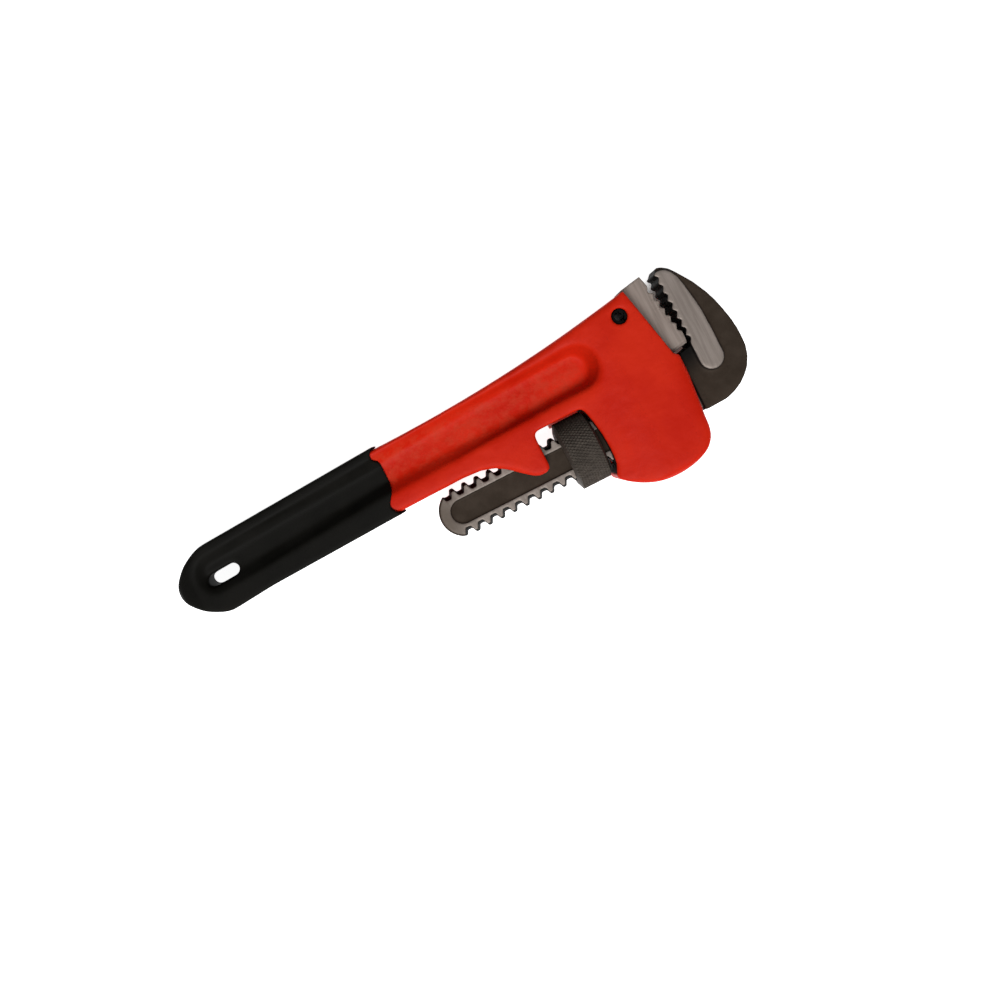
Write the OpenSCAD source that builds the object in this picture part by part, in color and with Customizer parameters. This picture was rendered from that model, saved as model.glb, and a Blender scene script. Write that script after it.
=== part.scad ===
// Straight pipe wrench, 10 inch size, American pattern, lying on its side.
// Every sub-part is first drawn in a drawing frame: x runs along the axis of the hook
// jaw's threaded shank towards the jaws, y runs across it towards the handle, and z = 0
// is the middle plane of the wrench. laid_down() then puts the whole wrench on the floor.

/* [Hook jaw] */
// Outside diameter of the thread on the shank
thread_d = 18.6; // [18:0.1:19]
// Depth of one thread tooth
thread_depth = 2; // [1.4:0.1:2.2]
// Distance from one thread tooth to the next, 5 turns to the inch
thread_pitch = 5.08; // [5.08]
// Thickness of the flat shank
shank_t = 9.1; // [8:0.1:9.4]
// Thickness of the head beside the jaw pad
head_t = 13.4; // [12:0.1:15]
// Width of both jaws across their teeth
jaw_w = 16; // [15.6:0.1:18]
// Distance from one jaw tooth to the next
jaw_tooth_pitch = 3.4; // [2.8:0.1:3.8]
// Depth of one jaw tooth
jaw_tooth_depth = 1.2; // [0.8:0.1:1.4]

/* [Adjusting nut] */
// Outside diameter of the nut
nut_d = 26.4; // [25:0.1:26.6]
// Length of the nut along the shank
nut_len = 13.1; // [11:0.1:13.1]
// Radial gap between the nut's bore and the crests of the shank's thread
nut_gap = 0.15; // [0.1:0.05:0.4]

/* [Handle and housing] */
// Thickness of the housing, which is the thickness of the wrench
housing_t = 27; // [26.6:0.1:29]
// Thickness of the handle's two edges under the grip
beam_t = 14; // [13:0.5:15]
// Thickness of the web between the handle's two edges
web_t = 6; // [5:0.5:7]
// Gap between the shank and each cheek of its passage
passage_gap = 0.6; // [0.4:0.1:0.9]

/* [Heel jaw and pin] */
// Thickness of the heel jaw's tongue in the housing
tongue_t = 8; // [7:0.5:9]
// Diameter of the hollow pin that holds the heel jaw
pin_d = 5.8; // [5:0.1:6]
// Wall of the hollow pin
pin_wall = 1.1; // [0.8:0.1:1.4]

/* [Grip] */
// Thickness of the dipped vinyl
vinyl_t = 1; // [0.8:0.1:1.2]
// Width of the hanging slot inside the vinyl
slot_w = 4.6; // [4.2:0.1:5]
// Length of the hanging slot inside the vinyl
slot_len = 12.3; // [11:0.1:13]

/* [Springs] */
// Thickness of the flat spring
leaf_t = 0.8; // [0.6:0.1:0.9]
// Wire diameter of the coil spring
wire_d = 1; // [0.8:0.1:1.2]
// Outside diameter of the coil spring
coil_d = 6.4; // [6:0.1:6.8]

/* [Hidden] */
$fn = 64;
far = 200;
through = 1;

red_paint = [0.75, 0.11, 0.06];
vinyl_black = [0.07, 0.07, 0.065];
ground_steel = [0.48, 0.45, 0.43];
dark_steel = [0.24, 0.2, 0.17];
nut_steel = [0.26, 0.23, 0.22];
spring_steel = [0.35, 0.36, 0.38];

// Extremes of the closed wrench in the drawing frame, which centre it on the floor.
butt_x = -151.7;
head_x = 73.4;
belly_y = -23.1;
top_y = 46.8;

// Main points of the handle and housing.
butt_centre = [-135, 19.05];
butt_reach = 16.7;
butt_half = 13.1;
grip_end_x = -64;
beam_top_y = 34.85;
beam_low_y = 10.3;
beam_sag = [-118.5, 8.35];
top_arc_r = 584;
seat_top = [41, 44.6];
seat_low = [47.3, 16.4];
belly_centre = [29.5, 3.9];
belly_r = 27;
nose_centre = [36.84, -10.9];
nose_r = 10.5;
lip = [9.8, -13.4];

// Recess between the two edges of the handle. It is two hollows that meet at recess_bend,
// each with a straight end there and a round end. Each level is a height above the middle
// plane and how far the hollow's outline is grown at that height, so the walls slope.
recess_bend = -60;
recess_low_y = 19.1;
recess_high_y = 31.7;
bend_levels = [[web_t / 2, -2.4], [7.5, 2], [housing_t, 3.4]];
front_round = [13.2, 27.5];
front_round_r = 7.2;
front_levels = [[web_t / 2 + 0.8, -1.7], [11, 1.5], [housing_t, 2.4]];
rear_round = [-135.6, 21];
rear_round_r = 6.4;
rear_levels = [[web_t / 2, -2.2], [7.5, 1.6], [housing_t, 3.6]];
vinyl_rear_levels = [[web_t / 2 + 2.3, -2.8], [beam_t / 2 + 1, 1], [housing_t, 2.6]];

// Window for the nut.
window_left = -10;
window_top = 13.85;
window_right = 9.6;

// Passage for the shank, with room above it for the springs and the rocking.
thread_r = thread_d / 2;
root_r = thread_r - thread_depth;
passage_t = shank_t + 2 * passage_gap;
passage_low = -thread_r - 0.4;
passage_roof = 12.8;

// Shank.
tail_x = -54.3;
neck_x = 49.9;
first_tooth_x = -48.5;
thread_end_x = 44.3;
crest_w = 1.2;
flank_w = 0.95;
panel_tail_x = -49.9;
panel_neck_x = 44.4;
panel_w = 9;
panel_depth = 0.6;
helix = atan(thread_pitch / (PI * thread_d));

// Jaws.
heel_tip_top = [50.65, 42.45];
heel_tip_low = [54.6, 22.5];
heel_low_y = 17.75;
heel_bevel = 1.3;
hook_tip_top = [54.45, 44.85];
hook_tip_low = [55.2, 17.1];
pad_round = [59.9, 9.3];
pad_round_r = 4.7;

// Nut.
nut_left = -3.2;
nut_chamfer_x = 1.1;
nut_chamfer_r = 2.7;

// Pin and springs.
pin_at = [35.9, 37.1];
pin_len = housing_t - 0.6;
leaf_low = thread_r + 0.3;
leaf_tab = 11.5;
rivet_x = 17;
rivet_shank_r = 1.2;
coil_x = 27;
coil_top = 20;
coil_turns = 5;

function arc(c, r, a0, a1, n) =
    [for (i = [0:n]) c + r * [cos(a0 + (a1 - a0) * i / n), sin(a0 + (a1 - a0) * i / n)]];

// Blunt end of the grip, between a round and a wedge, with the casting inside it.
function butt_end(inset, n) =
    [for (i = [0:n]) let (a = 90 + 180 * i / n)
        butt_centre + [-(butt_reach - inset) * pow(abs(cos(a)), 1.3),
            (butt_half - inset) * sign(sin(a)) * pow(abs(sin(a)), 1.3)]];

// Upper edge of the handle, a shallow arc that rises towards the jaw.
function top_edge(x) = beam_top_y + top_arc_r - sqrt(top_arc_r * top_arc_r - (x + 65) * (x + 65));

module laid_down() {
    translate([-(butt_x + head_x) / 2, -(belly_y + top_y) / 2, housing_t / 2])
        children();
}

// A flat shape as a plate of thickness t, centred on the middle plane.
module plate(t) {
    linear_extrude(t, center = true)
        children();
}

// ---- Handle ----

// Side view of the casting, window and recess still filled.
module casting_outline() {
    polygon(concat(
        [for (i = [0:22]) let (x = seat_top[0] - (seat_top[0] + 65) * i / 22)
            [x, i == 0 ? seat_top[1] : top_edge(x)]],
        butt_end(vinyl_t, 28),
        [beam_sag, [-65, beam_low_y - 0.05], [-40, 10.67], [-33, 10.19], [-28.1, 8.72], [-24.2, 6.28],
            [-19.8, 2.37], [-18, 0.85], [-16.4, -0.3], [-14.9, -1], [-13.5, -1.2],
            [-12, -1.1], [-10.9, -0.65], [window_left - 0.2, 0.1], [window_left, 1]],
        arc(belly_centre, belly_r, 221.3, 296.4, 20),
        arc(nose_centre, nose_r, 300, 365, 14),
        [[48.1, -3.5], [48.7, 2.6], [49.2, 6.5], [49.4, 10], [49.4, 13.5], [49.2, 14.9],
            [48.7, 15.8], seat_low]));
}

// View on the upper edge: half the thickness grows from the grip to the housing.
module plan_outline(extra) {
    tip_x = butt_x + vinyl_t - extra;
    side = [[tip_x, 0], [tip_x + 0.3, 3.4], [tip_x + 1.8, 5.6], [-144.8, beam_t / 2 - 0.3 + extra],
        [-140, beam_t / 2 + extra], [-70, beam_t / 2 + 0.3 + extra], [-30, 8.1 + extra],
        [-10, 8.8 + extra], [6, 9.6 + extra], [12, 10.3 + extra], [16, 11.2 + extra],
        [20, 12.4 + extra], [23, 13.1 + extra], [26, housing_t / 2 + extra], [44, housing_t / 2 + extra],
        [47.5, housing_t / 2 - 0.6 + extra], [49.6, housing_t / 2 - 2 + extra]];
    polygon(concat(side, [for (i = [len(side) - 1:-1:1]) [side[i][0], -side[i][1]]]));
}

// View along the shank, which rounds the belly of the housing.
module end_outline() {
    round_r = 3.5;
    polygon(concat(
        [[75, -housing_t / 2]],
        arc([belly_y + round_r, -housing_t / 2 + round_r], round_r, 270, 180, 6),
        arc([belly_y + round_r, housing_t / 2 - round_r], round_r, 180, 90, 6),
        [[75, housing_t / 2]]));
}

// One hollow of the recess on one face. A skin makes its straight end smaller.
module hollow(round_at, round_r, levels, side, skin) {
    past_bend = round_at[0] > recess_bend ? 0 : 0.5;
    scale([1, 1, side])
        hull() {
            for (level = levels)
                translate([round_at[0], round_at[1], level[0]])
                    cylinder(h = 0.01, r = round_r + level[1], $fn = 48);
            for (level = bend_levels)
                translate([recess_bend + past_bend, recess_low_y - level[1] + skin, level[0] + skin])
                    cube([0.01, recess_high_y - recess_low_y + 2 * (level[1] - skin), 0.01]);
        }
}

module window_outline() {
    polygon(concat(
        [[window_left, -30]],
        arc([window_left + 2, window_top - 2], 2, 180, 90, 5),
        arc([window_right - 1.5, window_top - 1.5], 1.5, 90, 20, 4),
        [[9.8, 12.2], [10.75, 8.3], [11.7, 2.5], [12, -2], [12, -5.3], [11.7, -9.2], lip, [lip[0], -30]]));
}

// A stadium: two rounds joined by straight sides.
module stadium(len, w) {
    square([len - w, w], center = true);
    for (side = [-1, 1])
        translate([side * (len - w) / 2, 0])
            circle(d = w);
}

module slot_outline(extra) {
    translate([-133.2, 18.95])
        rotate(3)
            stadium(slot_len + 2 * extra, slot_w + 2 * extra);
}

// Tongue of the heel jaw, and the slot for it when grown, which is open at the top.
module tongue_outline(gap) {
    rear_x = 30.2;
    open_top = 10 * gap;
    polygon([seat_top + [2, 0.7 + open_top], [rear_x - gap, top_edge(rear_x) - 0.8 + open_top],
        [rear_x - gap, 32 - gap], [34, 28.5 - gap], seat_low + [-1, 12 - gap], seat_low + [3, 12 - gap]]);
}

module handle() {
    color(red_paint)
        difference() {
            intersection() {
                plate(housing_t)
                    casting_outline();
                rotate([90, 0, 0])
                    linear_extrude(far, center = true)
                        plan_outline(0);
                rotate([90, 0, 90])
                    linear_extrude(2 * far, center = true)
                        end_outline();
            }
            for (side = [-1, 1]) {
                hollow(rear_round, rear_round_r, rear_levels, side, 0);
                hollow(front_round, front_round_r, front_levels, side, 0);
            }
            plate(far)
                window_outline();
            plate(far)
                slot_outline(vinyl_t);
            // Passage of the shank through the housing, and the gap between the two cheeks.
            translate([0, passage_low, -passage_t / 2])
                cube([far, passage_roof - passage_low, passage_t]);
            translate([-60, passage_low, -passage_t / 2])
                cube([60, 9.9 - passage_low, passage_t]);
            // Pocket of the coil spring, hole of the rivet, slot and hole of the heel jaw.
            translate([coil_x, passage_roof - through, 0])
                rotate([-90, 0, 0])
                    cylinder(h = coil_top - passage_roof + through, d = coil_d + 0.8);
            translate([rivet_x, passage_roof - through, 0])
                rotate([-90, 0, 0])
                    cylinder(h = 4 + through, r = rivet_shank_r);
            plate(tongue_t + 0.2)
                tongue_outline(0.2);
            translate(pin_at)
                cylinder(h = far, d = pin_d, center = true);
        }
}

// ---- Grip ----

module grip_outline() {
    polygon(concat(
        [[grip_end_x, beam_top_y + vinyl_t]],
        butt_end(0, 32),
        [beam_sag - [0, vinyl_t], [grip_end_x, beam_low_y - vinyl_t]]));
}

module grip() {
    color(vinyl_black)
        difference() {
            intersection() {
                plate(housing_t)
                    grip_outline();
                rotate([90, 0, 0])
                    linear_extrude(far, center = true)
                        plan_outline(vinyl_t);
            }
            // The vinyl is thicker in the recess, where it pools.
            for (side = [-1, 1])
                hollow(rear_round, rear_round_r, vinyl_rear_levels, side, vinyl_t);
            plate(far)
                slot_outline(0);
            difference() {
                intersection() {
                    plate(housing_t)
                        casting_outline();
                    rotate([90, 0, 0])
                        linear_extrude(far, center = true)
                            plan_outline(0);
                }
                for (side = [-1, 1])
                    hollow(rear_round, rear_round_r, rear_levels, side, 0);
                plate(far)
                    slot_outline(vinyl_t);
            }
        }
}

// ---- Heel jaw ----

// Sawtooth points from a to b, with the notches cut to the left of that direction.
function teeth(a, b, depth, lean) =
    let (n = round(norm(b - a) / jaw_tooth_pitch), along = (b - a) / n,
        into = depth * [-(b - a)[1], (b - a)[0]] / norm(b - a))
    [for (i = [0:n - 1]) each [a + along * i, a + along * (i + 0.1), a + along * (i + 0.1 + lean) + into]];

module heel_outline() {
    polygon(concat([seat_low, seat_top, seat_top + [0.1, 0.6], [49.6, 46.75]],
        teeth(heel_tip_top, heel_tip_low, -jaw_tooth_depth, 0.5),
        [heel_tip_low, [heel_tip_low[0], heel_low_y]]));
}

module heel_jaw() {
    color(ground_steel)
        difference() {
            union() {
                plate(jaw_w)
                    heel_outline();
                plate(tongue_t)
                    intersection() {
                        tongue_outline(0);
                        polygon([seat_top, seat_top - [far, 0], [-far, seat_low[1]], seat_low]);
                    }
            }
            translate(pin_at)
                cylinder(h = far, d = pin_d, center = true);
            // Bevels along the lower edge of both faces.
            for (side = [-1, 1])
                translate([seat_low[0], seat_low[1], side * jaw_w / 2])
                    rotate([0, 0, atan((heel_low_y - seat_low[1]) / (heel_tip_low[0] - seat_low[0]))])
                        rotate([45, 0, 0])
                            cube([30, 2 * heel_bevel, 2 * heel_bevel] / sqrt(2), center = true);
        }
}

module heel_jaw_pin() {
    color(spring_steel)
        translate(pin_at)
            difference() {
                cylinder(h = pin_len, d = pin_d, center = true);
                cylinder(h = far, d = pin_d - 2 * pin_wall, center = true);
                rotate([0, 0, 60])
                    translate([0, -0.4, -far / 2])
                        cube([pin_d, 0.8, far]);
            }
}

// ---- Hook jaw ----

// Side view of the curved head, thick body only.
module head_outline() {
    tooth_root_x = hook_tip_low[0] + jaw_tooth_depth + 0.5;
    polygon(concat(
        [[neck_x, -7.2], [58.5, -6.9], [62.2, -5.8], [65.4, -4.2], [68.3, -1.9], [70.3, 0.3], [72.2, 3.6],
            [73.2, 7.2], [head_x, 10.5], [head_x, 13.1], [72.9, 17.8], [71.8, 22.9], [70.7, 27],
            [69.3, 30.8], [66.35, 36.7], [62.4, 42.6], [60.6, 44.9], [58.5, 46.3], [57, top_y],
            [56.3, top_y - 0.1]],
        [[55.4, 45.7], [tooth_root_x, hook_tip_top[1]], [tooth_root_x, 17], [55, 16.3],
            [neck_x + 0.3, 15.4], [neck_x, 12]]));
}

// Side view of the ground pad that carries the teeth.
module pad_outline() {
    polygon(concat(
        arc(pad_round, pad_round_r, 180, 360, 16),
        [[64.6, 17], [64.45, 25], [64.1, 28.8], [63.5, 32.7], [62.7, 37.5], [61.9, 40.8], [60.7, 43.1],
            [58.9, 44.9], [57.4, 45.5], [55.7, 45.6]],
        teeth(hook_tip_top, hook_tip_low, jaw_tooth_depth, 0.38), [hook_tip_low]));
}

// One groove of the thread on one edge of the shank, tilted by the helix.
module thread_groove(x, side) {
    crest = (thread_pitch - crest_w) / 2;
    root = crest - flank_w;
    translate([x, 0, 0])
        rotate([0, side * helix, 0])
            rotate([side * 90 - 50, 0, 0])
                rotate([0, 90, 0])
                    rotate_extrude(angle = 100)
                        polygon([[root_r, -root], [thread_r + 1, -crest - 0.45], [thread_r + 1, crest + 0.45],
                            [root_r, root]]);
}

module shank() {
    groove_x = first_tooth_x + thread_pitch / 2;
    grooves = floor((thread_end_x - groove_x) / thread_pitch);
    difference() {
        intersection() {
            translate([tail_x, 0, 0])
                rotate([0, 90, 0]) {
                    cylinder(h = thread_end_x - tail_x, r = thread_r);
                    cylinder(h = neck_x - tail_x + 2, r = root_r);
                }
            plate(shank_t)
                translate([tail_x + far / 2, 0])
                    stadium(far, 2 * thread_r);
        }
        for (i = [0:grooves]) {
            thread_groove(groove_x + i * thread_pitch, -1);
            thread_groove(groove_x + (i - 0.5) * thread_pitch, 1);
        }
        // Shallow panels between the ground rims of both faces.
        for (side = [-1, 1])
            translate([(panel_tail_x + panel_neck_x) / 2, 0, side * (shank_t - panel_depth) / 2])
                linear_extrude(panel_depth + 0.01, center = true)
                    stadium(panel_neck_x - panel_tail_x, panel_w);
    }
}

module hook_jaw() {
    color(dark_steel)
        union() {
            shank();
            plate(head_t)
                head_outline();
            plate(jaw_w)
                pad_outline();
        }
}

// ---- Adjusting nut ----

module adjusting_nut() {
    bore_r = thread_r + nut_gap;
    outer_r = nut_d / 2;
    bore_chamfer = 0.6;
    color(nut_steel)
        translate([nut_left, 0, 0])
            rotate([0, 90, 0])
                difference() {
                    union() {
                        cylinder(h = nut_chamfer_x, r1 = outer_r - nut_chamfer_r, r2 = outer_r);
                        translate([0, 0, nut_chamfer_x])
                            cylinder(h = nut_len - 2 * nut_chamfer_x, r = outer_r);
                        translate([0, 0, nut_len - nut_chamfer_x])
                            cylinder(h = nut_chamfer_x, r1 = outer_r, r2 = outer_r - nut_chamfer_r);
                    }
                    cylinder(h = far, r = bore_r, center = true);
                    cylinder(h = 2 * bore_chamfer, r1 = bore_r + bore_chamfer, r2 = bore_r - bore_chamfer,
                        center = true);
                    translate([0, 0, nut_len])
                        cylinder(h = 2 * bore_chamfer, r1 = bore_r - bore_chamfer, r2 = bore_r + bore_chamfer,
                            center = true);
                }
}

// ---- Springs ----

module flat_spring() {
    color(spring_steel)
        difference() {
            plate(shank_t - 1)
                polygon([[14, leaf_tab], [20, leaf_tab], [23, leaf_low], [44, leaf_low], [46, leaf_low + 0.5],
                    [46, leaf_low + 0.5 + leaf_t], [44, leaf_low + leaf_t], [23.3, leaf_low + leaf_t],
                    [20.3, leaf_tab + leaf_t], [14, leaf_tab + leaf_t]]);
            translate([rivet_x, 0, 0])
                rotate([-90, 0, 0])
                    cylinder(h = far, r = rivet_shank_r + 0.4);
        }
}

// The coil stands on the flat spring and pushes against the end of its pocket.
module coil_spring() {
    sides = 8;
    steps = 20;
    wire_r = wire_d / 2;
    coil_r = coil_d / 2 - wire_r;
    low = leaf_low + leaf_t + wire_r + 0.05;
    high = coil_top - wire_r - 0.05;
    rings = coil_turns * steps;
    points = [for (i = [0:rings]) for (j = [0:sides - 1])
        let (a = 360 * i / steps, b = 360 * j / sides, r = coil_r + wire_r * cos(b))
        [r * cos(a), low + (high - low) * i / rings + wire_r * sin(b), r * sin(a)]];
    walls = [for (i = [0:rings - 1]) for (j = [0:sides - 1])
        let (p = i * sides + j, q = i * sides + (j + 1) % sides)
        each [[p, p + sides, q], [q, p + sides, q + sides]]];
    ends = [[for (j = [0:sides - 1]) j], [for (j = [sides - 1:-1:0]) rings * sides + j]];
    color(spring_steel)
        translate([coil_x, 0, 0])
            polyhedron(points = points, faces = concat(walls, ends));
}

module spring_rivet() {
    color(spring_steel)
        translate([rivet_x, 10.4, 0])
            rotate([-90, 0, 0]) {
                cylinder(h = 0.8, r1 = 1.7, r2 = 2.3);
                cylinder(h = passage_roof + 4 - 10.4, r = rivet_shank_r);
            }
}

laid_down() {
    handle();
    grip();
    heel_jaw();
    heel_jaw_pin();
    hook_jaw();
    adjusting_nut();
    flat_spring();
    coil_spring();
    spring_rivet();
}
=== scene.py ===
"""Looks of a 10 inch straight pipe wrench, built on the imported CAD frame."""
import math

import bpy
import numpy as np
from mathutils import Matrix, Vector


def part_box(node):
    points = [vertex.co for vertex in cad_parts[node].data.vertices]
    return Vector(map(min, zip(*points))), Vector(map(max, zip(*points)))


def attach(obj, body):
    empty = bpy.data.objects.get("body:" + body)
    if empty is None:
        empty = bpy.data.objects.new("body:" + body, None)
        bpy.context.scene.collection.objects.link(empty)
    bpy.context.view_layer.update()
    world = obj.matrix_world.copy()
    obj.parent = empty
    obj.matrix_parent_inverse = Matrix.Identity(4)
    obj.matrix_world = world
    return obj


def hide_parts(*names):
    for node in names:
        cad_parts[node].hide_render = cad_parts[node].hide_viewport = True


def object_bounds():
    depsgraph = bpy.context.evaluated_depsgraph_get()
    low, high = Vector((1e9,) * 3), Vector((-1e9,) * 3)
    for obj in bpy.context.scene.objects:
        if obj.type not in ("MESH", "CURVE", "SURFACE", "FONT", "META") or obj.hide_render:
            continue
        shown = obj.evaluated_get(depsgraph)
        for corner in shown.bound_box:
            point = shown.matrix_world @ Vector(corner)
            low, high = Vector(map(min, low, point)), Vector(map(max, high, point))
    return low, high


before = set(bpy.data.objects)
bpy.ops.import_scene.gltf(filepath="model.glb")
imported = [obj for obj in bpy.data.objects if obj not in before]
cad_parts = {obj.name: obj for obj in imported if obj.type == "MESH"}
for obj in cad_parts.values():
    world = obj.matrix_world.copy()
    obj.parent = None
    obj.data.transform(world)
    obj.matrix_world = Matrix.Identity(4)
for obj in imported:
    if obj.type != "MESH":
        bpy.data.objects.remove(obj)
cad_low, cad_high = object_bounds()

MM = 0.001
WHITE = (1, 1, 1, 1)
nut_low, nut_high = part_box("adjusting_nut")

# Places are given in the CAD's drawing frame, in millimetres: x along the shank's axis, with
# the nut's rear face at NUT_REAR, y across the axis, and z from the wrench's middle plane.
NUT_REAR = -3.2
ORIGIN = np.array([
    nut_low.x - NUT_REAR * MM,
    (nut_low.y + nut_high.y) / 2,
    (nut_low.z + nut_high.z) / 2])
NUT_LEN = (nut_high.x - nut_low.x) / MM
NUT_R = (nut_high.y - nut_low.y) / 2 / MM

# Thread of the shank, and the gap between it and the nut's bore.
THREAD_R, ROOT_R, PITCH, FIRST_TOOTH = 9.3, 7.3, 5.08, -48.5
NUT_GAP = 0.15

# The line of the heel jaw's seat, the middle of its pin, and the deepest point of the throat.
SEAT_LOW, SEAT_HIGH = (47.2, 17.0), (41.0, 44.6)
PIN_AT = (35.9, 37.1)
THROAT = (52.5, 16.5)
# Front end of the grip, and the handle's middle line.
GRIP_FRONT = -64.0
HANDLE_MIDDLE = 22.6
# Hook jaw: where its head begins, the middle of its round tail end, and the tail's tip.
NECK = 49.5
TAIL_ROUND = (-45.0, 0.0)
TAIL_TIP = (-54.3, 0.0)

# Heights above the middle plane where black turns to bright metal: on the step up to the pad
# of the hook jaw, and on the step from the shank's panel up to its rim.
PAD_FROM, PAD_TO = 7.45, 7.65
RIM_FROM, RIM_TO = 4.25, 4.45

# Rectangles across the broad face, each as its low and high corner: two on the handle, the
# window's walls with painted shade and the coarse web, the teeth of both jaws, where shade is
# painted, and the two places on the floor with no light.
WINDOW_WALLS = ((-9.0, -12.5), (13.0, 13.6))
RECESS_WEB = ((-75.0, 21.5), (14.0, 31.0))
HEEL_TEETH = ((50.2, 17.0), (56.0, 46.2))
HOOK_TEETH = ((52.5, 15.0), (59.0, 46.0))
MOUTH_SLIT = ((47.0, 12.0), (58.0, 46.0))
OVER_NUT = ((-2.2, 12.2), (12.0, 15.5))


def drawing(co):
    """Points in metres as millimetres in the drawing frame."""
    return (co - ORIGIN) / MM


def placed(co):
    """Millimetres in the drawing frame as points in metres."""
    return co * MM + ORIGIN


def at(k, value):
    """One millimetre coordinate of the drawing frame in metres: k is 0 for x, 1 for y, 2 for z."""
    return float(ORIGIN[k] + value * MM)


def from_line(x, y, start, end):
    """Distance of points from the line through two points."""
    run, rise = end[0] - start[0], end[1] - start[1]
    return np.abs((x - start[0]) * rise - (y - start[1]) * run) / math.hypot(run, rise)


def smoothstep(a, b, v):
    """0 on the far side of a, 1 on the far side of b, and smooth between them."""
    t = np.clip((v - a) / (b - a), 0, 1)
    return t * t * (3 - 2 * t)


# ---- Meshes ----

def coordinates(mesh):
    co = np.empty(len(mesh.vertices) * 3)
    mesh.vertices.foreach_get("co", co)
    return co.reshape(-1, 3)


def set_coordinates(mesh, co):
    mesh.vertices.foreach_set("co", co.astype(np.float32).ravel())
    mesh.update()


def relaxed(mesh, co, rounds, weight):
    """Moves each point towards the middle of its neighbours, by its own weight. It rounds edges."""
    edges = np.empty(len(mesh.edges) * 2, np.int64)
    mesh.edges.foreach_get("vertices", edges)
    a, b = edges[0::2], edges[1::2]
    n = len(co)
    count = np.bincount(a, minlength=n) + np.bincount(b, minlength=n)
    count = np.maximum(count, 1)[:, None]
    share = (0.5 * weight)[:, None]
    for _ in range(rounds):
        total = np.empty_like(co)
        for k in range(3):
            total[:, k] = np.bincount(a, co[b, k], n) + np.bincount(b, co[a, k], n)
        co = co + (total / count - co) * share
    return co


def linked(name, mesh):
    """A new object that shows a mesh."""
    obj = bpy.data.objects.new(name, mesh)
    bpy.context.scene.collection.objects.link(obj)
    return obj


def surfaced(name, node, voxel):
    """An even, dense mesh over a CAD node, with its points on the CAD surface."""
    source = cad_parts[node]
    corners = [tuple(v.co) for v in source.data.vertices]
    shape = bpy.data.meshes.new(name + "_shape")
    shape.from_pydata(corners, [], [tuple(p.vertices) for p in source.data.polygons])
    obj = linked(name, shape)
    remesh = obj.modifiers.new("even", "REMESH")
    remesh.mode = "VOXEL"
    remesh.voxel_size = voxel * MM
    wrap = obj.modifiers.new("snap", "SHRINKWRAP")
    wrap.wrap_method = "NEAREST_SURFACEPOINT"
    wrap.target = source
    evaluated = obj.evaluated_get(bpy.context.evaluated_depsgraph_get())
    made = bpy.data.meshes.new_from_object(evaluated)
    obj.modifiers.clear()
    obj.data = made
    bpy.data.meshes.remove(shape)
    made.name = name
    return obj


def shade(obj):
    """Smooth shading."""
    obj.data.polygons.foreach_set("use_smooth", [True] * len(obj.data.polygons))
    obj.data.update()


def grid_object(name, points, rows, columns):
    """A closed ring of points in the drawing frame: rows go round one way, columns the other."""
    index = np.arange(rows * columns).reshape(rows, columns)
    right = np.roll(index, -1, 1)
    down = np.roll(index, -1, 0)
    both = np.roll(right, -1, 0)
    faces = np.stack([index, right, both, down], -1).reshape(-1, 4)
    mesh = bpy.data.meshes.new(name)
    mesh.from_pydata([tuple(p) for p in placed(points)], [], [tuple(f) for f in faces.tolist()])
    return linked(name, mesh)


# ---- Materials ----

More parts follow.
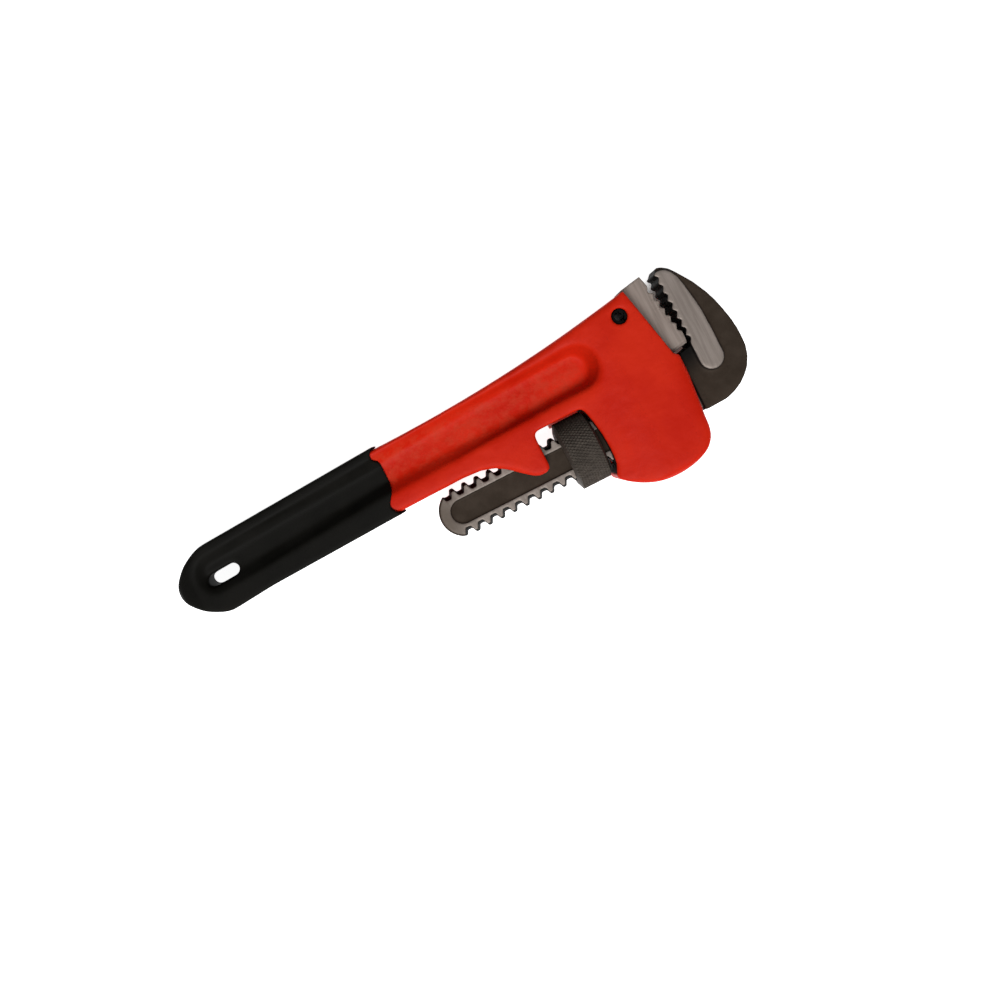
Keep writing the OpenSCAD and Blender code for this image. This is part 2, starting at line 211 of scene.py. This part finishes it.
class Shader:
    """A material's node tree with short ways to add and join nodes."""

    def __init__(self, name):
        self.material = bpy.data.materials.new(name)
        self.material.use_nodes = True
        self.tree = self.material.node_tree
        self.surface = self.tree.nodes["Principled BSDF"]
        self.place = self.add("ShaderNodeTexCoord").outputs["Object"]

    def add(self, kind, **settings):
        """A new node of a kind, with its own settings."""
        node = self.tree.nodes.new(kind)
        for key, value in settings.items():
            setattr(node, key, value)
        return node

    def join(self, source, target):
        """Links a socket to an input, or sets the input to a plain value."""
        if hasattr(source, "is_linked"):
            self.tree.links.new(source, target)
        else:
            target.default_value = source

    def calc(self, operation, a, b=0.0, clamp=False):
        """One step of arithmetic on sockets or plain numbers."""
        node = self.add("ShaderNodeMath", operation=operation, use_clamp=clamp)
        self.join(a, node.inputs[0])
        self.join(b, node.inputs[1])
        return node.outputs[0]

    def noise(self, scale, detail=3.0, rough=0.55, grain=None):
        """Noise. A grain is the noise's scale along x, y and z, and its turn about z."""
        node = self.add("ShaderNodeTexNoise")
        node.inputs["Scale"].default_value = scale
        node.inputs["Detail"].default_value = detail
        node.inputs["Roughness"].default_value = rough
        if grain:
            stretch, turn = grain
            mapping = self.add("ShaderNodeMapping")
            mapping.inputs["Scale"].default_value = stretch
            mapping.inputs["Rotation"].default_value = (0, 0, turn)
            self.join(self.place, mapping.inputs["Vector"])
            self.join(mapping.outputs[0], node.inputs["Vector"])
        else:
            self.join(self.place, node.inputs["Vector"])
        return node.outputs["Fac"]

    def between(self, value, low, high, out_low=0.0, out_high=1.0):
        """out_low up to low, out_high from high on, and a smooth change between them."""
        node = self.add("ShaderNodeMapRange", interpolation_type="SMOOTHSTEP")
        self.join(value, node.inputs["Value"])
        node.inputs["From Min"].default_value = low
        node.inputs["From Max"].default_value = high
        node.inputs["To Min"].default_value = out_low
        node.inputs["To Max"].default_value = out_high
        return node.outputs["Result"]

    def mix(self, amount, a, b):
        """Colour a, turning into colour b as amount goes from 0 to 1."""
        node = self.add("ShaderNodeMix", data_type="RGBA")
        colours = [i for i in node.inputs if i.type == "RGBA"]
        self.join(amount, node.inputs["Factor"])
        for value, socket in zip((a, b), colours):
            self.join((*value, 1) if isinstance(value, tuple) else value, socket)
        return next(o for o in node.outputs if o.type == "RGBA")

    def bump(self, height, distance, strength=1.0, after=None):
        """Relief of a depth in metres, on top of another bump where one is given."""
        node = self.add("ShaderNodeBump")
        node.inputs["Strength"].default_value = strength
        node.inputs["Distance"].default_value = distance
        self.join(height, node.inputs["Height"])
        if after is not None:
            self.join(after, node.inputs["Normal"])
        return node.outputs["Normal"]

    def edges(self, low, high):
        """1 on convex edges, from the surface's own curvature."""
        geometry = self.add("ShaderNodeNewGeometry")
        return self.between(geometry.outputs["Pointiness"], low, high)

    def flatness(self, low, high):
        """1 on the broad faces of the wrench and 0 on its sides."""
        normal = self.add("ShaderNodeNewGeometry").outputs["Normal"]
        split = self.add("ShaderNodeSeparateXYZ")
        self.join(normal, split.inputs[0])
        return self.between(self.calc("ABSOLUTE", split.outputs["Z"]), low, high)

    def near(self, point, low, high):
        """1 within low of a point in the drawing frame, 0 beyond high, across the broad face."""
        x = self.calc("SUBTRACT", self.axis("X"), at(0, point[0]))
        y = self.calc("SUBTRACT", self.axis("Y"), at(1, point[1]))
        square = self.calc("ADD", self.calc("MULTIPLY", x, x), self.calc("MULTIPLY", y, y))
        return self.between(self.calc("SQRT", square), low * MM, high * MM, 1.0, 0.0)

    def inside(self, rectangle, soft):
        """1 inside a rectangle of the drawing frame, across the broad face, with a soft border."""
        low, high = rectangle
        result = 1.0
        for letter, k in (("X", 0), ("Y", 1)):
            place = self.axis(letter)
            past_low = self.between(place, at(k, low[k] - soft), at(k, low[k]))
            before_high = self.between(place, at(k, high[k]), at(k, high[k] + soft), 1.0, 0.0)
            result = self.product(result, past_low, before_high)
        return result

    def product(self, *values):
        """Values multiplied with each other."""
        result = values[0]
        for value in values[1:]:
            result = self.calc("MULTIPLY", result, value)
        return result

    def opposite(self, value):
        """1 where a value is 0, and 0 where it is 1."""
        return self.calc("SUBTRACT", 1.0, value)

    def axis(self, letter):
        """One coordinate of the surface, in metres."""
        split = self.add("ShaderNodeSeparateXYZ")
        self.join(self.place, split.inputs[0])
        return split.outputs[letter]

    def set(self, **values):
        """Sets inputs of the surface by name, with _ for a space, to a socket or a plain value."""
        for key, value in values.items():
            self.join(value, self.surface.inputs[key.replace("_", " ")])


def red_paint():
    """Enamel over a sand casting, duller and coarser in the recess, with painted shade round the nut."""
    s = Shader("red_enamel")
    cloud = s.noise(45, 4, 0.6)
    deep, light = (0.45, 0.0095, 0.0018), (0.53, 0.0175, 0.0042)
    tone = s.mix(s.between(cloud, 0.3, 0.7), deep, light)
    worn = s.product(0.45, s.edges(0.57, 0.68), s.between(s.noise(300, 5, 0.7), 0.5, 0.68))
    tone = s.mix(worn, tone, (0.26, 0.008, 0.004))
    # Painted shade, with a rougher surface, on the walls of the nut's window.
    window_wall_shade = s.product(s.opposite(s.flatness(0.15, 0.5)), s.inside(WINDOW_WALLS, 1.0))
    tone = s.mix(window_wall_shade, tone, (0.006, 0.003, 0.002))
    # Coarser casting skin, with thicker and duller paint, on the web of the recess.
    web = s.inside(RECESS_WEB, 3.0)
    blotch = s.product(0.55, web, s.between(s.noise(240, 5, 0.65), 0.40, 0.62))
    tone = s.mix(blotch, tone, (0.47, 0.034, 0.014))
    rough = s.between(cloud, 0.2, 0.8, 0.46, 0.56)
    rough = s.calc("ADD", rough, s.product(0.4, window_wall_shade), clamp=True)
    s.set(Base_Color=tone, Roughness=rough, Specular_IOR_Level=0.07)
    lumps = s.bump(s.noise(170, 4, 0.5), 0.00042, 0.8)
    grain = s.bump(s.noise(1400, 3, 0.6), 0.00005, 0.5, lumps)
    s.set(Normal=s.bump(s.product(web, s.noise(380, 5, 0.6)), 0.0005, 0.45, grain))
    return s.material


def black_vinyl():
    """Dipped vinyl, satin, with faint waves and a fine skin."""
    s = Shader("black_vinyl")
    cloud = s.noise(60, 4, 0.6)
    dark, light = (0.0036, 0.0034, 0.0027), (0.0062, 0.0058, 0.0048)
    s.set(Base_Color=s.mix(s.between(cloud, 0.3, 0.7), dark, light))
    s.set(Roughness=s.between(cloud, 0.25, 0.75, 0.56, 0.66), Specular_IOR_Level=0.055)
    waves = s.bump(s.noise(130, 3, 0.5), 0.0003, 0.5)
    s.set(Normal=s.bump(s.noise(2200, 2, 0.5), 0.00002, 0.5, waves))
    return s.material


def steel(name, dark, light, rough, metal, grain, grain_depth, gloss=0.1):
    """Plain steel with a grain. rough is its lowest and highest roughness."""
    s = Shader(name)
    cloud = s.noise(90, 5, 0.65)
    lines = s.noise(900, 4, 0.6, grain)
    tone = s.mix(s.between(lines, 0.3, 0.7), dark, light)
    stain = tuple(0.6 * v for v in dark)
    tone = s.mix(s.product(0.4, s.between(cloud, 0.5, 0.8)), tone, stain)
    s.set(Base_Color=tone, Roughness=s.between(cloud, 0.25, 0.75, *rough))
    s.set(Metallic=metal, Specular_IOR_Level=gloss)
    s.set(Normal=s.bump(lines, grain_depth, 0.5))
    return s.material


def heel_steel():
    """Hardened insert with bright ground broad faces and dark edges, with painted shade on its teeth."""
    s = Shader("heel_steel")
    cloud = s.noise(110, 5, 0.65)
    lines = s.noise(900, 4, 0.6, ((1, 0.06, 1), 0.22))
    bright = s.mix(s.between(lines, 0.3, 0.7), (0.205, 0.168, 0.146), (0.275, 0.230, 0.202))
    stain = s.product(0.5, s.between(cloud, 0.55, 0.8))
    bright = s.mix(stain, bright, (0.085, 0.066, 0.056))
    side = s.mix(s.between(cloud, 0.35, 0.7), (0.030, 0.025, 0.022), (0.055, 0.046, 0.041))
    # Painted shade: the teeth, deep between the closed jaws, are near black.
    side = s.mix(s.inside(HEEL_TEETH, 0.5), side, (0.0035, 0.0030, 0.0027))
    ground = s.flatness(0.45, 0.65)
    s.set(Base_Color=s.mix(ground, side, bright), Metallic=s.between(ground, 0, 1, 0.0, 0.25))
    s.set(Roughness=s.between(cloud, 0.25, 0.75, 0.46, 0.58), Specular_IOR_Level=0.06)
    s.set(Normal=s.bump(lines, 0.00003, 0.5))
    return s.material


def hook_ground(s, flat):
    """1 where the hook jaw is ground bright: on the pad, and on the shank's rim beside the thread."""
    height = s.calc("ABSOLUTE", s.calc("SUBTRACT", s.axis("Z"), at(2, 0)))
    ragged = s.product(0.25 * MM, s.calc("SUBTRACT", s.noise(500, 4, 0.6), 0.5))
    height = s.calc("ADD", height, ragged)
    x = s.axis("X")
    in_head = s.between(x, at(0, NECK - 0.4), at(0, NECK + 0.4))
    pad = s.product(in_head, s.between(height, PAD_FROM * MM, PAD_TO * MM))
    rim = s.product(s.opposite(in_head), s.between(height, RIM_FROM * MM, RIM_TO * MM))
    # The edge of the round tail end stays black.
    before_tail = s.between(x, at(0, TAIL_ROUND[0] - 3), at(0, TAIL_ROUND[0] - 2))
    in_tail = s.near(TAIL_ROUND, 8.3, 8.8)
    return s.product(s.calc("ADD", pad, rim, clamp=True), flat, s.calc("MAXIMUM", before_tail, in_tail))


def hook_steel():
    """Blackened forging, ground bright on its highest faces and along the thread."""
    s = Shader("hook_steel")
    cloud = s.noise(120, 5, 0.65)
    flat = s.flatness(0.6, 0.93)
    ground = hook_ground(s, flat)
    black = s.mix(s.between(cloud, 0.3, 0.75), (0.0275, 0.0190, 0.0130), (0.0415, 0.0300, 0.0220))
    rub = s.product(s.edges(0.57, 0.66), s.between(cloud, 0.45, 0.7, 0.0, 0.35))
    black = s.mix(rub, black, (0.10, 0.085, 0.075))
    # Painted shade: the sides along the shank and its thread, and the teeth, are near black.
    threaded = s.between(s.axis("X"), at(0, NECK - 4), at(0, NECK - 3), 1.0, 0.0)
    thread_and_teeth_shade = s.calc("MAXIMUM", threaded, s.inside(HOOK_TEETH, 0.6))
    side = s.mix(thread_and_teeth_shade, (0.016, 0.0125, 0.0105), (0.0030, 0.0026, 0.0023))
    black = s.mix(flat, side, black)
    # Painted shade in the throat, below the heel jaw, where the housing and heel jaw shut out the light.
    black = s.mix(s.near(THROAT, 1.5, 13.0), black, (0.0035, 0.0030, 0.0028))
    lines = s.noise(800, 3, 0.6, ((1, 0.06, 1), 0.35))
    bright = s.mix(s.between(lines, 0.3, 0.7), (0.185, 0.156, 0.137), (0.245, 0.210, 0.187))
    # The ground rim is darker towards the tail end.
    bright = s.mix(s.near(TAIL_TIP, 2.0, 16.0), bright, (0.105, 0.085, 0.070))
    s.set(Base_Color=s.mix(ground, black, bright), Specular_IOR_Level=0.06)
    s.set(Roughness=s.between(ground, 0, 1, 0.6, 0.48), Metallic=s.between(ground, 0, 1, 0.0, 0.25))
    skin = s.bump(s.noise(650, 4, 0.6), 0.00009, 0.6)
    s.set(Normal=s.bump(lines, 0.00003, 0.5, skin))
    return s.material


def floor_material():
    """A glowing white floor, dark where next to no light reaches it."""
    s = Shader("pale_floor")
    s.set(Base_Color=s.mix(s.noise(4, 2), (0.90, 0.90, 0.90), (0.93, 0.93, 0.93)))
    s.set(Roughness=0.9, Specular_IOR_Level=0.1, Emission_Color=WHITE)
    # Next to no light gets down the slit between the jaws while it is narrow, or over the nut.
    sky = s.add("ShaderNodeAmbientOcclusion", samples=8)
    sky.inputs["Distance"].default_value = 0.03
    covered = s.between(sky.outputs["AO"], 0.35, 0.6, 1.0, 0.0)
    narrow = s.calc("MAXIMUM", s.inside(MOUTH_SLIT, 1.0), s.inside(OVER_NUT, 0.6))
    s.set(Emission_Strength=s.between(s.product(covered, narrow), 0.0, 1.0, 0.92, 0.0))
    return s.material


def dress(obj, material):
    """Gives a piece one material in place of what it has."""
    obj.data.materials.clear()
    obj.data.materials.append(material)


# ---- Handle, grip and jaws ----

def make_handle():
    obj = surfaced("handle_casting", "handle", voxel=0.58)
    co = coordinates(obj.data)
    x, y, z = drawing(co).T
    # The seat of the heel jaw, the pin's hole, the passage and the window's walls stay crisp.
    window_left, window_right, window_top = -10.5, 12.0, 13.9
    passage_half, passage_low, passage_top = 6.5, -10.5, 14
    from_seat = from_line(x, y, SEAT_LOW, SEAT_HIGH) + 4 * (y < passage_top)
    from_pin = np.hypot(x - PIN_AT[0], y - PIN_AT[1])
    from_window = np.maximum.reduce([window_left - x, x - window_right, y - window_top])
    in_passage = (np.abs(z) < passage_half) & (y < passage_top) & (y > passage_low)
    weight = np.minimum(0.12 + smoothstep(1.0, 4.0, from_seat), 0.1 + smoothstep(3.2, 5.0, from_pin))
    weight = np.where(in_passage, 0.1, weight)
    weight = np.minimum(weight, 0.35 + 0.65 * smoothstep(0.5, 3.0, from_window))
    set_coordinates(obj.data, relaxed(obj.data, co, rounds=26, weight=np.clip(weight, 0, 1)))
    shade(obj)
    dress(obj, red_paint())
    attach(obj, "frame")
    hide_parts("handle")


def dip_line(x, y, z):
    """How far each point of the vinyl's front end moves along x, for its lobed dip line."""
    near_front = smoothstep(GRIP_FRONT - 20, GRIP_FRONT - 1, x)
    across = (y - HANDLE_MIDDLE) / 13.3
    on_face = smoothstep(3.5, 6.5, np.abs(z))
    upper_bay = 2.0 * on_face * np.exp(-((across - 0.72) / 0.2) ** 2)
    lower_bay = 3.2 * on_face * np.exp(-((across + 0.7) / 0.28) ** 2)
    upper_edge = 1.3 * smoothstep(0.93, 1.0, across)
    lower_edge = 0.6 * smoothstep(0.93, 1.0, -across)
    return near_front * (upper_edge + lower_edge - upper_bay - lower_bay - 0.4)


def make_grip():
    obj = surfaced("vinyl_grip", "grip", voxel=0.5)
    co = coordinates(obj.data)
    behind_front = GRIP_FRONT - drawing(co)[:, 0]
    weight = np.clip(0.3 + smoothstep(1.5, 5.0, behind_front), 0, 1)
    points = drawing(relaxed(obj.data, co, rounds=14, weight=weight))
    points[:, 0] += dip_line(*points.T)
    set_coordinates(obj.data, placed(points))
    shade(obj)
    dress(obj, black_vinyl())
    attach(obj, "frame")
    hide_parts("grip")


def make_heel_jaw():
    obj = surfaced("heel_jaw_insert", "heel_jaw", voxel=0.28)
    co = coordinates(obj.data)
    set_coordinates(obj.data, relaxed(obj.data, co, rounds=3, weight=np.full(len(co), 0.8)))
    shade(obj)
    dress(obj, heel_steel())
    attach(obj, "frame")
    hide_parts("heel_jaw")


def make_hook_jaw():
    obj = surfaced("hook_jaw_forging", "hook_jaw", voxel=0.36)
    co = coordinates(obj.data)
    x, y, z = drawing(co).T
    # The back of the head, the throat and the tail are well rounded; pad, teeth and thread are not.
    back = smoothstep(56.5, 60, x) * smoothstep(0.5, 2.5, 8.0 - np.abs(z))
    throat = 0.6 * (x > 50) * (y < 14)
    tail = 0.6 * smoothstep(-49.5, -52.5, x)
    weight = np.clip(0.16 + 0.84 * (back + throat) + tail, 0, 1)
    set_coordinates(obj.data, relaxed(obj.data, co, rounds=18, weight=weight))
    shade(obj)
    dress(obj, hook_steel())
    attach(obj, "hook_jaw")
    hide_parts("hook_jaw")


# ---- Nut and pin ----

def nut_outline(bore, chamfer_x, chamfer_r, bore_points):
    """Outline of the nut's metal as x from its rear face and radius, ending with the bore."""
    shoulder = NUT_R - chamfer_r
    corners = [(0, bore), (0, shoulder), (chamfer_x, NUT_R), (NUT_LEN - chamfer_x, NUT_R),
               (NUT_LEN, shoulder), (NUT_LEN, bore), (0, bore)]
    counts = [3, 14, 62, 14, 3, bore_points]
    return np.concatenate([
        np.linspace(start, end, count, endpoint=False)
        for start, end, count in zip(corners, corners[1:], counts)])


def make_nut():
    """Knurled nut: its outline goes once round the metal, and its bore carries the thread."""
    around, bore_points = 528, 72
    chamfer_x, chamfer_r = 1.1, 2.7
    bore = THREAD_R + NUT_GAP
    outline = nut_outline(bore, chamfer_x, chamfer_r, bore_points)
    along, radius = outline.T[:, None, :]
    in_bore = np.arange(len(outline)) >= len(outline) - bore_points
    angle = (np.arange(around) * 2 * math.pi / around)[:, None]
    # Two crossing sets of grooves make the diamonds.
    starts, slant, depth, sharpness = 66, math.tan(math.radians(32)) / NUT_R, 0.36, 2.2
    left, right = [0.5 + 0.5 * np.cos(starts * (angle + way * along * slant)) for way in (-1, 1)]
    grooves = np.maximum(left ** sharpness, right ** sharpness)
    knurled = np.where(in_bore, 0, smoothstep(NUT_R - chamfer_r + 1.2, NUT_R - 0.2, radius))
    # Right-hand thread in the bore, in step with the one on the shank.
    turn = (along + NUT_REAR - FIRST_TOOTH - PITCH * (angle / (2 * math.pi) - 0.5)) / PITCH
    from_groove = np.abs(turn - np.round(turn)) * PITCH
    fade = smoothstep(0, 1.0, along) * smoothstep(0, 1.0, NUT_LEN - along)
    threaded = bore - (bore - ROOT_R - 0.3) * smoothstep(0.75, 1.75, from_groove) * fade
    radius = np.where(in_bore, threaded, radius - depth * grooves * knurled)
    x = np.repeat(along, around, 0) + NUT_REAR
    points = np.stack([x, radius * np.cos(angle), radius * np.sin(angle)], -1).reshape(-1, 3)
    obj = grid_object("knurled_nut", points, around, len(outline))
    shade(obj)
    dark, light = (0.036, 0.0290, 0.0235), (0.060, 0.0490, 0.0400)
    dress(obj, steel("blackened_steel", dark, light, (0.5, 0.62), 0.1, ((0.3, 1, 1), 0), 0.00003))
    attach(obj, "adjusting_nut")
    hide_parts("adjusting_nut")


def make_pin():
    """Rolled spring pin: a split tube with chamfered ends."""
    low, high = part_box("heel_jaw_pin")
    centre = (low + high) / 2
    outer, half_length = (high.x - low.x) / 2 / MM, (high.z - low.z) / 2 / MM
    inner, tip, shoulder = outer - 1.1, outer - 0.5, outer - 0.12
    upper = [(outer, half_length - 1.6), (shoulder, half_length - 0.5), (tip, half_length),
             (inner, half_length)]
    profile = [(radius, -z) for radius, z in reversed(upper)] + upper
    steps, half_split, facing = 48, math.radians(9), math.radians(-62)
    points = []
    for i in range(steps + 1):
        angle = facing + half_split + (2 * math.pi - 2 * half_split) * i / steps
        for radius, z in profile:
            across = Vector((radius * math.cos(angle), radius * math.sin(angle), z))
            points.append(centre + across * MM)
    n = len(profile)
    faces = [(i * n + j, i * n + (j + 1) % n, (i + 1) * n + (j + 1) % n, (i + 1) * n + j)
             for i in range(steps) for j in range(n)]
    faces += [tuple(range(n))[::-1], tuple(steps * n + j for j in range(n))]
    mesh = bpy.data.meshes.new("roll_pin")
    mesh.from_pydata(points, [], faces)
    obj = linked("roll_pin", mesh)
    dark, light = (0.0025, 0.0025, 0.0025), (0.005, 0.0047, 0.0045)
    dress(obj, steel("black_oxide", dark, light, (0.5, 0.65), 0.0, ((1, 1, 0.1), 0), 0.00002, gloss=0.035))
    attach(obj, "frame")
    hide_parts("heel_jaw_pin")


def dress_springs():
    """The three pieces inside the housing keep the CAD's own meshes."""
    dark, light = (0.05, 0.052, 0.058), (0.09, 0.092, 0.10)
    material = steel("spring_steel", dark, light, (0.35, 0.5), 0.7, ((1, 1, 0.1), 0), 0.00002)
    for node in ("flat_spring", "coil_spring", "spring_rivet"):
        dress(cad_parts[node], material)


# ---- Camera, light and floor ----

def make_stage():
    half = 3.0
    corners = [(-half, -half, 0), (half, -half, 0), (half, half, 0), (-half, half, 0)]
    mesh = bpy.data.meshes.new("floor")
    mesh.from_pydata(corners, [], [(0, 1, 2, 3)])
    floor = linked("floor", mesh)
    # Just below the wrench, so that no two faces share a place.
    floor.location.z = -0.2 * MM
    dress(floor, floor_material())


def make_camera():
    """Straight above the wrench, turned as in the photograph and shifted to frame it alike."""
    height, view_width, turn = 0.4, 0.36765, math.radians(27)
    sensor = 36
    data = bpy.data.cameras.new("camera")
    camera = linked("camera", data)
    over = placed(np.array([-33.5, HANDLE_MIDDLE, 0.0]))
    camera.location = (over[0], over[1], over[2] + height)
    camera.rotation_euler = (0, 0, -turn)
    data.sensor_width = sensor
    data.lens = sensor * height / view_width
    data.shift_x = 0.036
    data.shift_y = -0.059
    data.clip_start = 0.01
    data.dof.use_dof = False
    bpy.context.scene.camera = camera


def area_light(name, direction, distance, size, power):
    """A round lamp in a direction from the middle of the wrench, which it faces."""
    data = bpy.data.lights.new(name, "AREA")
    data.shape = "DISK"
    data.size = size
    data.energy = power
    lamp = linked(name, data)
    aim = Vector(((cad_low[0] + cad_high[0]) / 2, (cad_low[1] + cad_high[1]) / 2, 0))
    direction = Vector(direction).normalized()
    lamp.location = aim + direction * distance
    lamp.rotation_euler = (-direction).to_track_quat("-Z", "Y").to_euler()


def make_world():
    """A white backdrop past the floor's edge, which lights the wrench only faintly."""
    world = bpy.data.worlds.new("studio")
    world.use_nodes = True
    tree = world.node_tree
    faint = tree.nodes["Background"]
    backdrop = tree.nodes.new("ShaderNodeBackground")
    for background, strength in ((faint, 0.08), (backdrop, 1.0)):
        background.inputs["Color"].default_value = WHITE
        background.inputs["Strength"].default_value = strength
    seen = tree.nodes.new("ShaderNodeLightPath").outputs["Is Camera Ray"]
    both = tree.nodes.new("ShaderNodeMixShader")
    tree.links.new(seen, both.inputs[0])
    tree.links.new(faint.outputs[0], both.inputs[1])
    tree.links.new(backdrop.outputs[0], both.inputs[2])
    tree.links.new(both.outputs[0], tree.nodes["World Output"].inputs["Surface"])
    bpy.context.scene.world = world


def make_light():
    make_world()
    area_light("key", (-0.28, -0.66, 1.15), distance=1.3, size=0.8, power=19.5)
    area_light("fill", (0.4, -0.1, 1.2), distance=1.5, size=1.2, power=3)
    view = bpy.context.scene.view_settings
    view.view_transform = "Standard"
    view.look = "None"


make_stage()
make_camera()
make_light()
make_handle()
make_grip()
make_heel_jaw()
make_hook_jaw()
make_nut()
make_pin()
dress_springs()
